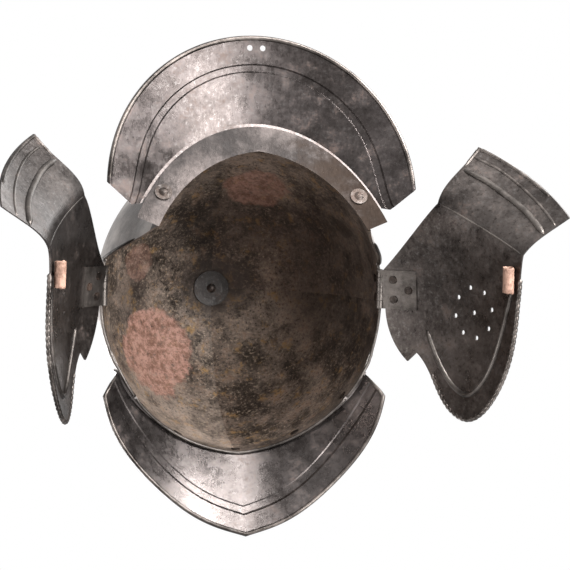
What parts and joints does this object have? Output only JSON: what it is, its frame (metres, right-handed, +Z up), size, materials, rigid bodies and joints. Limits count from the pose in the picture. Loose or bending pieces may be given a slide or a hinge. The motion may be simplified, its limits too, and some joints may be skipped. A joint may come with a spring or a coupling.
{
  "type": "burgonet helmet",
  "caption": "Open steel helmet with a four-keeled bowl, pointed peak, riveted neck guard and two hinged cheek pieces with flared collars and pierced holes.",
  "frame": {"origin": "middle of the head opening between the ears, 12 mm above the rim at the cheek hinges", "axes": "+Z up through the crown as worn, -Y forward through the peak, +X towards the wearer's left"},
  "size_m": [0.3783, 0.3465, 0.2992],
  "materials": {
    "skull_iron": "rough near-black iron with rust patches",
    "plate_steel": "dark blued steel with a soft sheen",
    "cheek_steel": "dark brown-grey steel with bright worn edges",
    "fitting_iron": "dark forged iron",
    "strap_leather": "pale worn leather"
  },
  "bodies": {
    "helmet": {"skull": "skull_iron", "peak": "plate_steel", "peak_rivets": "fitting_iron", "apex_washer": "fitting_iron", "finial_base": "fitting_iron", "finial": "fitting_iron", "neck_rivet_left": "fitting_iron", "neck_washer_left": "fitting_iron", "skull_hinge_leaf_left": "fitting_iron", "skull_hinge_rivets_left": "fitting_iron", "hinge_pin_left": "fitting_iron", "neck_rivet_right": "fitting_iron", "neck_washer_right": "fitting_iron", "skull_hinge_leaf_right": "fitting_iron", "skull_hinge_rivets_right": "fitting_iron", "hinge_pin_right": "fitting_iron"},
    "neck_guard_plate": {"neck_guard": "plate_steel"},
    "cheek_left": {"cheek_piece_left": "cheek_steel", "cheek_hinge_leaf_left": "fitting_iron", "cheek_hinge_rivets_left": "fitting_iron", "strap_stub_left": "strap_leather", "strap_rivet_left": "fitting_iron"},
    "cheek_right": {"cheek_piece_right": "cheek_steel", "cheek_hinge_leaf_right": "fitting_iron", "cheek_hinge_rivets_right": "fitting_iron", "strap_stub_right": "strap_leather", "strap_rivet_right": "fitting_iron"}
  },
  "joints": [
    {"name": "left_cheek_hinge", "type": "hinge", "parent": "helmet", "child": "cheek_left", "pos_m": [0.099, 0.01, -0.0163], "axis": [0, -1, 0], "range_deg": [-22, 58]},
    {"name": "right_cheek_hinge", "type": "hinge", "parent": "helmet", "child": "cheek_right", "pos_m": [-0.099, 0.01, -0.0163], "axis": [0, 1, 0], "range_deg": [-35, 45]},
    {"name": "neck_guard_rock", "type": "hinge", "parent": "helmet", "child": "neck_guard_plate", "pos_m": [0, 0.076, -0.0799], "axis": [1, 0, 0], "range_deg": [0, 3]}
  ]
}
